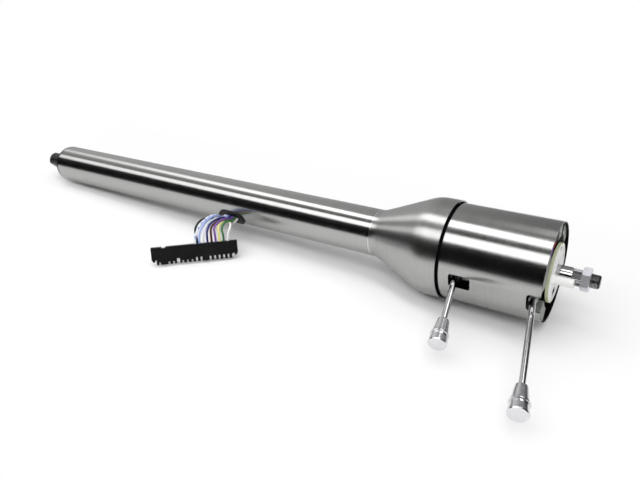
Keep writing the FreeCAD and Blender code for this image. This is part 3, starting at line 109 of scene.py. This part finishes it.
# Materials
class Nodes:
    """A material and short calls for its nodes."""

    def __init__(self, name):
        self.material = bpy.data.materials.new(name)
        self.material.use_nodes = True
        self.tree = self.material.node_tree
        self.shader = self.tree.nodes["Principled BSDF"]

    def add(self, kind, **values):
        node = self.tree.nodes.new(kind)
        for key, value in values.items():
            setattr(node, key, value)
        return node

    def link(self, a, b):
        self.tree.links.new(a, b)

    def set(self, **values):
        """Uniform values, set on the shader's own sockets."""
        for key, value in values.items():
            name = key.replace("_", " ").title().replace("Ior", "IOR")
            self.shader.inputs[name].default_value = value

    def place(self):
        return self.add("ShaderNodeTexCoord").outputs["Object"]

    def noise(self, scale, stretch=(1, 1, 1), detail=4.0, rough=0.55):
        mapping = self.add("ShaderNodeMapping")
        mapping.inputs["Scale"].default_value = stretch
        self.link(self.place(), mapping.inputs["Vector"])
        noise = self.add("ShaderNodeTexNoise")
        noise.inputs["Scale"].default_value = scale
        noise.inputs["Detail"].default_value = detail
        noise.inputs["Roughness"].default_value = rough
        self.link(mapping.outputs["Vector"], noise.inputs["Vector"])
        return noise.outputs["Fac"]

    def ramp(self, factor, low, high, start=0.3, end=0.7):
        ramp = self.add("ShaderNodeValToRGB")
        ramp.color_ramp.elements[0].position = start
        ramp.color_ramp.elements[1].position = end
        ramp.color_ramp.elements[0].color = (*low, 1)
        ramp.color_ramp.elements[1].color = (*high, 1)
        self.link(factor, ramp.inputs["Fac"])
        return ramp.outputs["Color"]

    def span(self, factor, low, high, start=0.3, end=0.7):
        node = self.add("ShaderNodeMapRange")
        node.inputs["From Min"].default_value = start
        node.inputs["From Max"].default_value = end
        node.inputs["To Min"].default_value = low
        node.inputs["To Max"].default_value = high
        self.link(factor, node.inputs["Value"])
        return node.outputs["Result"]

    def bump(self, height, strength, distance):
        node = self.add("ShaderNodeBump")
        node.inputs["Strength"].default_value = strength
        node.inputs["Distance"].default_value = distance
        self.link(height, node.inputs["Height"])
        self.link(node.outputs["Normal"], self.shader.inputs["Normal"])

    def mix(self, factor, a, b):
        node = self.add("ShaderNodeMix", data_type="RGBA")
        self.link(factor, node.inputs["Factor"])
        for value, socket in ((a, node.inputs[6]), (b, node.inputs[7])):
            if isinstance(value, tuple):
                socket.default_value = (*value, 1)
            else:
                self.link(value, socket)
        return node.outputs[2]

    def math(self, operation, *values):
        node = self.add("ShaderNodeMath", operation=operation)
        for value, socket in zip(values, node.inputs):
            if isinstance(value, (int, float)):
                socket.default_value = value
            else:
                self.link(value, socket)
        return node.outputs[0]

    def radius_and_x(self):
        """Distance from the column's axis, and place along it, of the surface."""
        split = self.add("ShaderNodeSeparateXYZ")
        self.link(self.place(), split.inputs[0])
        y2 = self.math("MULTIPLY", split.outputs[1], split.outputs[1])
        z2 = self.math("MULTIPLY", split.outputs[2], split.outputs[2])
        return self.math("SQRT", self.math("ADD", y2, z2)), split.outputs[0]


def brushed(name, seam=None, inside=None, rough=0.20):
    """Steel brushed around the axis.

    Seam is the joint's place along the axis, painted with a thin highlight around the column, and with
    it the tube's end edge gets a painted dark reflection.
    Inside is the radius below which the surface is black.
    """
    m = Nodes(name)
    lines = m.noise(1.0, (1800, 9, 9), 3.0, 0.6)
    broad = m.noise(1.0, (50, 5, 5), 3.0, 0.5)
    colour = m.ramp(lines, (0.375, 0.38, 0.37), (0.435, 0.44, 0.43))
    gloss = m.math("ADD", m.span(lines, rough, rough + 0.04), m.span(broad, -0.02, 0.02))
    m.set(metallic=1.0, anisotropic=0.8, anisotropic_rotation=0.25, specular_ior_level=0.1)
    tangent = m.add("ShaderNodeTangent", direction_type="RADIAL", axis="X")
    m.link(tangent.outputs[0], m.shader.inputs["Tangent"])
    radius, x = m.radius_and_x()
    if seam is not None:
        off = m.math("ABSOLUTE", m.math("SUBTRACT", x, seam))
        # A thin painted highlight around the joint: the base colour is made light there
        line = m.math("LESS_THAN", off, SEAM_HIGHLIGHT_HALF)
        colour = m.mix(line, colour, (0.75, 0.75, 0.74))
        # Painted dark reflection: the tube's rounded end edge is coloured near black
        colour = m.mix(m.math("LESS_THAN", x, TUBE_END_PAINTED_REFLECTION), colour, (0.02, 0.02, 0.02))
    if inside is not None:
        skin = m.math("LESS_THAN", radius, inside)
        colour = m.mix(skin, colour, (0.0015, 0.0015, 0.0018))
        m.link(m.math("SUBTRACT", 1.0, skin), m.shader.inputs["Metallic"])
        gloss = m.math("ADD", gloss, m.math("MULTIPLY", skin, 0.45))
    m.link(colour, m.shader.inputs["Base Color"])
    m.link(gloss, m.shader.inputs["Roughness"])
    m.bump(lines, 0.06, 0.00001)
    return m.material


def metal(name, low, high, rough=(0.15, 0.3), scale=300, bump=0.1, depth=0.00003, metallic=1.0):
    """A metal whose colour, gloss and surface vary a little."""
    m = Nodes(name)
    grain = m.noise(scale)
    m.set(metallic=metallic)
    m.link(m.ramp(grain, low, high), m.shader.inputs["Base Color"])
    m.link(m.span(grain, *rough), m.shader.inputs["Roughness"])
    m.bump(grain, bump, depth)
    return m.material


def plastic(name, low, high, rough=(0.35, 0.55), scale=900, bump=0.15, depth=0.00004, specular=0.5):
    """A plastic, rubber or paint with a fine skin."""
    m = Nodes(name)
    grain = m.noise(scale)
    cloud = m.noise(35, detail=2.0)
    m.set(specular_ior_level=specular)
    m.link(m.ramp(cloud, low, high), m.shader.inputs["Base Color"])
    m.link(m.span(grain, *rough), m.shader.inputs["Roughness"])
    m.bump(grain, bump, depth)
    return m.material


def shaft_steel():
    """Polished shaft, with grey splines and a dark thread."""
    m = Nodes("wheel_shaft_steel")
    grain = m.noise(400)
    _, x = m.radius_and_x()
    on_spline = m.math("GREATER_THAN", x, X_SPLINE - 0.0003)
    on_thread = m.math("GREATER_THAN", x, X_NUT)
    bright = m.ramp(grain, (0.50, 0.50, 0.51), (0.60, 0.60, 0.61))
    colour = m.mix(on_spline, bright, (0.30, 0.30, 0.31))
    colour = m.mix(on_thread, colour, (0.06, 0.062, 0.06))
    rough = m.math("ADD", m.span(grain, 0.08, 0.15), m.math("MULTIPLY", on_spline, 0.18))
    m.set(metallic=1.0)
    m.link(colour, m.shader.inputs["Base Color"])
    m.link(rough, m.shader.inputs["Roughness"])
    m.bump(grain, 0.05, 0.00002)
    return m.material


def cam_plastic():
    """Off-white moulding with painted shade in its slots and an outer rim tinted greenish yellow."""
    m = Nodes("cream_moulding")
    cloud = m.noise(60, detail=2.0)
    grain = m.noise(900)
    radius, x = m.radius_and_x()
    rim = m.math("GREATER_THAN", radius, CAM_RIM_R)
    # Painted shade: the slot walls are coloured near black to stand for the shade inside the slots
    below = m.math("COMPARE", x, X_CAM_SLOTS, CAM_SLOT_HALF)
    painted_slot_shade = m.math("MULTIPLY", below, m.math("GREATER_THAN", radius, CAM_SLOT_R))
    white = m.ramp(cloud, (0.88, 0.89, 0.87), (0.94, 0.94, 0.93))
    face = m.mix(painted_slot_shade, white, (0.02, 0.02, 0.02))
    m.link(m.mix(rim, face, (0.62, 0.66, 0.44)), m.shader.inputs["Base Color"])
    m.link(m.span(grain, 0.30, 0.45), m.shader.inputs["Roughness"])
    m.bump(grain, 0.1, 0.00003)
    return m.material


def lead_insulation():
    """Black insulation of the three switch leads, red or purple along a stretch."""
    m = Nodes("switch_lead")
    radius, _ = m.radius_and_x()
    grain = m.noise(600)
    inner = m.math("LESS_THAN", radius, INNER_LEAD_R)
    middle = m.math("LESS_THAN", radius, MIDDLE_LEAD_R)
    split = m.add("ShaderNodeSeparateXYZ")
    m.link(m.place(), split.inputs[0])
    red = m.math("MULTIPLY", inner, m.math("COMPARE", split.outputs[1], *RED_STRETCH))
    purple = m.math("MULTIPLY", middle, m.math("COMPARE", split.outputs[1], *PURPLE_STRETCH))
    colour = m.mix(purple, (0.012, 0.012, 0.013), (0.16, 0.05, 0.28))
    m.link(m.mix(red, colour, (0.62, 0.03, 0.015)), m.shader.inputs["Base Color"])
    m.link(m.span(grain, 0.28, 0.42), m.shader.inputs["Roughness"])
    m.bump(grain, 0.08, 0.00003)
    return m.material


def marked_wire(name, base, mark):
    """Pale insulation with short rings of another colour."""
    m = Nodes(name)
    wave = m.add("ShaderNodeTexWave", bands_direction="Y")
    wave.inputs["Scale"].default_value = 40.0
    wave.inputs["Distortion"].default_value = 1.5
    m.link(m.place(), wave.inputs["Vector"])
    rings = m.math("GREATER_THAN", wave.outputs["Fac"], 0.88)
    m.link(m.mix(rings, base, mark), m.shader.inputs["Base Color"])
    m.link(m.span(m.noise(700), 0.28, 0.42), m.shader.inputs["Roughness"])
    return m.material


# Wires: the points of each route, from the grommet to the plug, in millimetres
WIRE_D = 0.0028
ROUTES = {
    "wire_black": (
        (367.3, -24.1, -11.4), (367.3, -34.6, -16.3), (369.9, -57.7, -2.8), (366.2, -76.9, 2.9),
        (367.5, -91.9, -5.0), (372.1, -94.0, -14.3), (373.8, -96.0, -22.4)),
    "wire_lavender": (
        (365.2, -25.1, -9.1), (365.2, -36.0, -13.1), (370.6, -57.2, 4.0), (370.7, -82.4, 0.3),
        (372.9, -90.3, -4.1), (372.9, -98.3, -13.1), (374.7, -100.3, -21.1)),
    "wire_light_blue": (
        (369.4, -25.1, -9.1), (369.4, -36.0, -13.1), (374.0, -57.6, 4.0), (374.2, -79.7, -0.1),
        (375.7, -88.2, -5.0), (376.6, -94.6, -13.2), (378.3, -96.7, -21.3)),
    "wire_clear": (
        (371.5, -24.1, -11.4), (371.5, -34.6, -16.3), (376.6, -55.4, -0.5), (376.7, -75.5, -1.0),
        (378.9, -84.3, -4.6), (380.2, -91.0, -13.4), (381.9, -93.0, -21.4)),
    "wire_dark_blue": (
        (373.6, -25.1, -9.1), (373.6, -36.0, -13.1), (382.2, -52.2, 0.2), (379.7, -73.3, -0.5),
        (382.2, -84.4, -6.3), (383.8, -87.3, -13.5), (385.5, -89.4, -21.6)),
    "wire_brown": (
        (375.7, -24.1, -11.4), (375.7, -34.6, -16.3), (381.5, -52.9, -4.4), (382.7, -68.1, -2.5),
        (383.4, -79.0, -4.8), (387.4, -83.6, -13.7), (389.2, -85.7, -21.7)),
    "wire_purple": (
        (377.8, -25.1, -9.1), (377.8, -36.0, -13.1), (386.1, -48.4, -2.7), (386.3, -65.5, -0.6),
        (386.4, -76.6, -5.3), (391.1, -80.0, -13.8), (392.8, -82.0, -21.9)),
    "wire_yellow": (
        (379.9, -24.1, -11.4), (379.9, -34.6, -16.3), (385.4, -50.2, -7.0), (387.4, -60.2, -4.0),
        (389.4, -71.6, -4.9), (394.7, -76.3, -14.0), (396.4, -78.4, -22.0)),
    "wire_dark_green": (
        (382.0, -25.1, -9.1), (382.0, -36.0, -13.1), (390.7, -45.2, -8.2), (390.9, -55.4, -1.6),
        (391.8, -68.8, -8.0), (398.3, -72.7, -14.1), (400.0, -74.7, -22.2)),
    "wire_white": (
        (384.1, -24.1, -11.4), (384.1, -34.6, -16.3), (387.8, -48.3, -12.0), (394.0, -53.1, -5.7),
        (400.9, -60.2, -7.3), (401.9, -69.0, -14.3), (403.7, -71.1, -22.3)),
}
WIRE_COLOURS = {
    "wire_black": ((0.010, 0.010, 0.011), (0.018, 0.018, 0.018)),
    "wire_dark_blue": ((0.018, 0.018, 0.13), (0.030, 0.032, 0.20)),
    "wire_brown": ((0.06, 0.007, 0.008), (0.10, 0.012, 0.012)),
    "wire_purple": ((0.16, 0.06, 0.30), (0.24, 0.10, 0.42)),
    "wire_yellow": ((0.76, 0.68, 0.22), (0.88, 0.82, 0.38)),
    "wire_dark_green": ((0.020, 0.13, 0.035), (0.035, 0.19, 0.055)),
    "wire_white": ((0.80, 0.80, 0.79), (0.88, 0.88, 0.87)),
    "wire_clear": ((0.70, 0.73, 0.77), (0.82, 0.84, 0.87)),
    "wire_light_blue": ((0.28, 0.38, 0.72), (0.42, 0.52, 0.84)),
}


def wire_material(name):
    """Insulation in the wire's own colour."""
    if name == "wire_lavender":
        return marked_wire(name, (0.80, 0.82, 0.90), (0.32, 0.38, 0.70))
    low, high = WIRE_COLOURS[name]
    return plastic(name, low, high, (0.25, 0.40), 600, 0.08)


def add_cords():
    """Each wire as a free cord along its route."""
    for name, route in ROUTES.items():
        points = [Vector(point) * MM for point in route]
        data = bpy.data.curves.new(name + "_line", "CURVE")
        data.dimensions = "3D"
        data.bevel_depth = WIRE_D / 2
        data.bevel_resolution = 6
        data.resolution_u = 24
        data.use_fill_caps = True
        spline = data.splines.new("NURBS")
        spline.points.add(len(points) - 1)
        for point, place in zip(spline.points, points):
            point.co = (*place, 1)
        spline.order_u = 3
        spline.use_endpoint_u = True
        cord = bpy.data.objects.new(name + "_cord", data)
        bpy.context.scene.collection.objects.link(cord)
        data.materials.append(wire_material(name))
        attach(cord, "jacket")
        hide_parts(name)


# Detail that the CAD model leaves out
def add_thread():
    """Helical ridge of the thread on the shaft's end."""
    steps = 32
    start = X_THREAD - THREAD_PITCH / 2
    turns = int((X_END - THREAD_CHAMFER - start) / THREAD_PITCH)
    flank = THREAD_PITCH * 0.42
    root = THREAD_R - 0.0001
    vertices, faces = [], []
    for n in range(turns * steps + 1):
        angle = 2 * math.pi * n / steps
        x = start + THREAD_PITCH * n / steps
        height = THREAD_HEIGHT * min(1.0, n / steps, (turns * steps - n) / steps)
        for shift, radius in ((-flank, root), (0.0, THREAD_R + height), (flank, root)):
            vertices.append((x + shift, radius * math.cos(angle), radius * math.sin(angle)))
    for n in range(turns * steps):
        for side in range(3):
            a, b = 3 * n + side, 3 * n + (side + 1) % 3
            faces.append((a, b, b + 3, a + 3))
    last = 3 * turns * steps
    faces += [(2, 1, 0), (last, last + 1, last + 2)]
    mesh = bpy.data.meshes.new("thread_ridge")
    mesh.from_pydata(vertices, [], faces)
    mesh.update()
    ridge = bpy.data.objects.new("thread_ridge", mesh)
    bpy.context.scene.collection.objects.link(ridge)
    steel = metal("thread_steel", (0.25, 0.26, 0.25), (0.42, 0.43, 0.42), (0.20, 0.34), 500)
    mesh.materials.append(steel)
    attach(ridge, "upper_shaft")


def dress_nodes():
    """A finish for every node that stays as the CAD model has it."""
    lever = metal("polished_rod", (0.62, 0.62, 0.63), (0.72, 0.72, 0.73), (0.05, 0.10), 250, 0.04)
    knob = metal("turned_knob", (0.66, 0.66, 0.68), (0.78, 0.78, 0.80), (0.16, 0.26), 500, 0.12)
    dark = metal("dark_steel", (0.030, 0.031, 0.034), (0.075, 0.075, 0.080), (0.30, 0.50), 160)
    cast = metal("die_casting", (0.26, 0.28, 0.26), (0.42, 0.44, 0.42), (0.38, 0.60), 260,
                 bump=0.5, depth=0.0002)
    race = metal("ground_rings", (0.48, 0.48, 0.49), (0.60, 0.60, 0.61), (0.14, 0.25), 700)
    zinc = metal("zinc_plate", (0.58, 0.58, 0.60), (0.70, 0.70, 0.71), (0.12, 0.22), 420)
    tin = plastic("tinned_blades", (0.84, 0.84, 0.83), (0.92, 0.92, 0.91), (0.15, 0.30), 700, 0.05)
    nut = metal("plated_nut", (0.74, 0.73, 0.80), (0.80, 0.80, 0.84), (0.24, 0.32), 3000,
                bump=0.04, metallic=0.75)
    # Horn ring brass, darkened as painted shade for what is seen through the cam's slots
    brass_painted_shade = metal("brass_darkened_as_painted_shade", (0.05, 0.036, 0.018), (0.09, 0.065, 0.030), (0.40, 0.55), 300)
    black = plastic("black_moulding", (0.003, 0.003, 0.004), (0.007, 0.007, 0.008), (0.30, 0.50),
                    specular=0.35)
    plug = plastic("plug_moulding", (0.002, 0.002, 0.003), (0.008, 0.008, 0.009), (0.25, 0.55), 1400,
                   bump=0.5, depth=0.0001, specular=0.3)
    rubber = plastic("black_rubber", (0.003, 0.003, 0.003), (0.006, 0.006, 0.006), (0.40, 0.60), 700,
                     bump=0.3, specular=0.3)
    paint = plastic("black_paint", (0.002, 0.002, 0.002), (0.004, 0.004, 0.004), (0.45, 0.60), 800,
                    specular=0.15)
    finishes = {
        "jacket_tube": brushed("brushed_tube", seam=X_SEAM),
        "lower_bell": brushed("brushed_bell", seam=X_SEAM, rough=0.30),
        "upper_shroud": brushed("brushed_shroud", inside=SHROUD_SKIN_R),
        "gap_skirt": paint, "wire_grommet": rubber, "inner_harness": rubber,
        "lower_bearing_adapter": black, "connector_body": plug, "turn_signal_switch": black,
        "connector_terminals": tin, "lower_shaft": dark, "jacket_end_plate": dark,
        "tilt_spring": dark, "tilt_spring_guide": dark, "lock_shoes": dark,
        "upper_shaft": shaft_steel(), "wheel_nut": nut, "support_screws": zinc, "switch_screws": zinc,
        "cancel_cam": cam_plastic(), "horn_ring": brass_painted_shade, "tilt_support": cast, "tilt_housing": cast,
        "switch_housing": cast, "tilt_release_arm": dark, "turn_lever_carrier": cast,
        "switch_leads": lead_insulation(), "tilt_lever_rod": lever, "turn_lever_rod": lever,
        "tilt_lever_knob": knob, "turn_lever_knob": knob, "hazard_knob": knob,
    }
    for name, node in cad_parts.items():
        if name in ROUTES:
            continue
        for slot in node.material_slots:
            slot.link = "OBJECT"
            slot.material = finishes.get(name, race)


# Studio
def floor_z(x):
    """Height of the floor, which slopes a little along the column."""
    return -TUBE_R - FLOOR_SLOPE * x


def add_floor():
    """Pale floor, plain white for the camera and dark for reflections far from the column."""
    mesh = bpy.data.meshes.new("floor")
    around = ((-FLOOR_HALF, -FLOOR_HALF), (FLOOR_HALF, -FLOOR_HALF),
              (FLOOR_HALF, FLOOR_HALF), (-FLOOR_HALF, FLOOR_HALF))
    corners = [(x, y, floor_z(x)) for x, y in around]
    mesh.from_pydata(corners, [], [(0, 1, 2, 3)])
    floor = bpy.data.objects.new("floor", mesh)
    bpy.context.scene.collection.objects.link(floor)
    m = Nodes("pale_floor")
    cloud = m.noise(3.0, detail=2.0)
    m.link(m.ramp(cloud, (0.90, 0.90, 0.90), (0.92, 0.92, 0.92)), m.shader.inputs["Base Color"])
    m.set(roughness=0.7, specular_ior_level=0.2)
    split = m.add("ShaderNodeSeparateXYZ")
    m.link(m.place(), split.inputs[0])
    along = m.math("ABSOLUTE", m.math("SUBTRACT", split.outputs[0], COLUMN_MIDDLE))
    past_ends = m.math("SUBTRACT", along, WHITE_ENDS)
    past_side = m.math("SUBTRACT", m.math("ABSOLUTE", split.outputs[1]), WHITE_SIDE)
    far = m.span(m.math("MAXIMUM", past_ends, past_side), 0.0, 1.0, 0.0, WHITE_FADE)
    in_front = m.math("SUBTRACT", m.math("MULTIPLY", split.outputs[1], -1.0), DARK_FRONT)
    farther = m.math("MAXIMUM", m.math("SUBTRACT", past_ends, DARK_ENDS), in_front)
    dim = m.span(farther, 0.0, 1.0, 0.0, DARK_FADE)
    path = m.add("ShaderNodeLightPath")
    white = m.add("ShaderNodeEmission")
    gloom = m.add("ShaderNodeEmission")
    gloom.inputs["Strength"].default_value = 0.0
    over_white = m.add("ShaderNodeMixShader")
    m.link(m.math("MULTIPLY", far, path.outputs["Is Camera Ray"]), over_white.inputs[0])
    m.link(m.shader.outputs[0], over_white.inputs[1])
    m.link(white.outputs[0], over_white.inputs[2])
    over_gloom = m.add("ShaderNodeMixShader")
    m.link(m.math("MULTIPLY", dim, path.outputs["Is Glossy Ray"]), over_gloom.inputs[0])
    m.link(over_white.outputs[0], over_gloom.inputs[1])
    m.link(gloom.outputs[0], over_gloom.inputs[2])
    m.link(over_gloom.outputs[0], m.tree.nodes["Material Output"].inputs["Surface"])
    mesh.materials.append(m.material)


def add_softbox(name, angle, twist, width, energy, fade=1.0, x=-0.5, length=4.6):
    """A softbox over the column, which fades towards its -X end.

    The angle is from +Y towards +Z, and the twist is about the box's own aim.
    """
    data = bpy.data.lights.new(name, "AREA")
    data.shape = "RECTANGLE"
    data.size = length
    data.size_y = width
    data.energy = energy
    data.use_nodes = True
    nodes, links = data.node_tree.nodes, data.node_tree.links
    place = nodes.new("ShaderNodeNewGeometry")
    split = nodes.new("ShaderNodeSeparateXYZ")
    strength = nodes.new("ShaderNodeMapRange")
    for key, value in (("From Min", 0.15), ("From Max", 0.60), ("To Min", fade), ("To Max", 1.0)):
        strength.inputs[key].default_value = value
    links.new(place.outputs["Parametric"], split.inputs[0])
    links.new(split.outputs[0], strength.inputs["Value"])
    links.new(strength.outputs["Result"], nodes["Emission"].inputs["Strength"])
    light = bpy.data.objects.new(name, data)
    bpy.context.scene.collection.objects.link(light)
    turn, skew = math.radians(angle), math.radians(twist)
    light.location = (x, SOFTBOX_DISTANCE * math.cos(turn), SOFTBOX_DISTANCE * math.sin(turn))
    aim = Vector((0, -math.cos(turn), -math.sin(turn)))
    side = Vector((math.cos(skew), -math.sin(turn) * math.sin(skew), math.cos(turn) * math.sin(skew)))
    light.rotation_euler = Matrix((side, -aim.cross(side), -aim)).transposed().to_euler()


def add_world():
    """White for the camera, even for matt surfaces, and for reflections a room dark on two sides."""
    world = bpy.data.worlds.new("studio")
    bpy.context.scene.world = world
    world.use_nodes = True
    tree = world.node_tree
    nodes, links = tree.nodes, tree.links
    nodes.clear()
    place = nodes.new("ShaderNodeTexCoord")
    split = nodes.new("ShaderNodeSeparateXYZ")
    links.new(place.outputs["Generated"], split.inputs[0])

    def span(value, start, end, low, high):
        node = nodes.new("ShaderNodeMapRange")
        node.interpolation_type = "SMOOTHSTEP"
        for key, number in (("From Min", start), ("From Max", end), ("To Min", low), ("To Max", high)):
            node.inputs[key].default_value = number
        links.new(value, node.inputs["Value"])
        return node.outputs["Result"]

    def times(a, b):
        node = nodes.new("ShaderNodeMath")
        node.operation = "MULTIPLY"
        links.new(a, node.inputs[0])
        links.new(b, node.inputs[1])
        return node.outputs[0]

    def glow(strength):
        node = nodes.new("ShaderNodeBackground")
        node.inputs["Color"].default_value = (1, 1, 1, 1)
        if isinstance(strength, float):
            node.inputs["Strength"].default_value = strength
        else:
            links.new(strength, node.inputs["Strength"])
        return node.outputs[0]

    def either(factor, a, b):
        node = nodes.new("ShaderNodeMixShader")
        links.new(factor, node.inputs[0])
        links.new(a, node.inputs[1])
        links.new(b, node.inputs[2])
        return node.outputs[0]

    far_side = span(split.outputs[1], -0.45, 0.15, 0.0, 1.0)
    along = span(split.outputs[0], -0.65, -0.05, 0.66, 0.24)
    past_wheel = span(split.outputs[0], 0.2, 0.6, 1.0, 0.1)
    past_end = span(split.outputs[0], -0.95, -0.84, 0.1, 1.0)
    room = glow(times(times(far_side, along), times(past_wheel, past_end)))
    path = nodes.new("ShaderNodeLightPath")
    seen = either(path.outputs["Is Glossy Ray"], glow(EVEN_GLOW), room)
    seen = either(path.outputs["Is Camera Ray"], seen, glow(1.0))
    out = nodes.new("ShaderNodeOutputWorld")
    links.new(seen, out.inputs["Surface"])


add_camera()
add_cords()
add_thread()
dress_nodes()
add_floor()
add_softbox("softbox_top", angle=84.5, twist=17, width=0.46, energy=20, fade=0.15)
add_softbox("softbox_front", angle=125.2, twist=7, width=0.54, energy=22, fade=0.6)
add_softbox("softbox_levers", angle=66, twist=0, width=0.47, energy=2.6, x=1.12, length=0.95)
add_world()
bpy.context.scene.view_settings.view_transform = "Standard"
